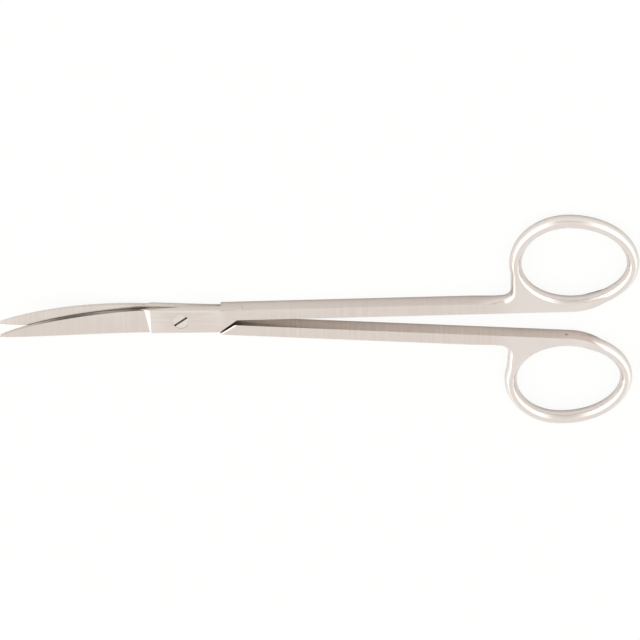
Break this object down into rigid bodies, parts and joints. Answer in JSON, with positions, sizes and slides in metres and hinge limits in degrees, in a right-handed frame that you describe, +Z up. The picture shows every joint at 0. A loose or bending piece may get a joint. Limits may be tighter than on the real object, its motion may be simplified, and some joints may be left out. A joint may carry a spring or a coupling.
{
  "type": "surgical scissors",
  "caption": "Slim curved surgical scissors in satin steel, a little open: lap joint with a slotted pivot screw, long straight shanks and oval finger rings.",
  "frame": {"origin": "on the ground, under the middle of the open tool's length and width", "axes": "+X from the blade tips to the finger rings, +Y to the side where the front half's ring lies, +Z up from the backs of the shanks to the side the blades curve towards"},
  "size_m": [0.1585, 0.0626, 0.0081],
  "materials": {
    "satin_steel": "satin",
    "screw_steel": "satin"
  },
  "bodies": {
    "rear": {"rear_half": "satin_steel", "pivot_screw": "screw_steel"},
    "front": {"front_half": "satin_steel"}
  },
  "joints": [
    {"name": "pivot", "type": "hinge", "parent": "rear", "child": "front", "pos_m": [-0.0344, 0, 0], "axis": [0, 0, 1], "range_deg": [-4.6, 55]}
  ]
}
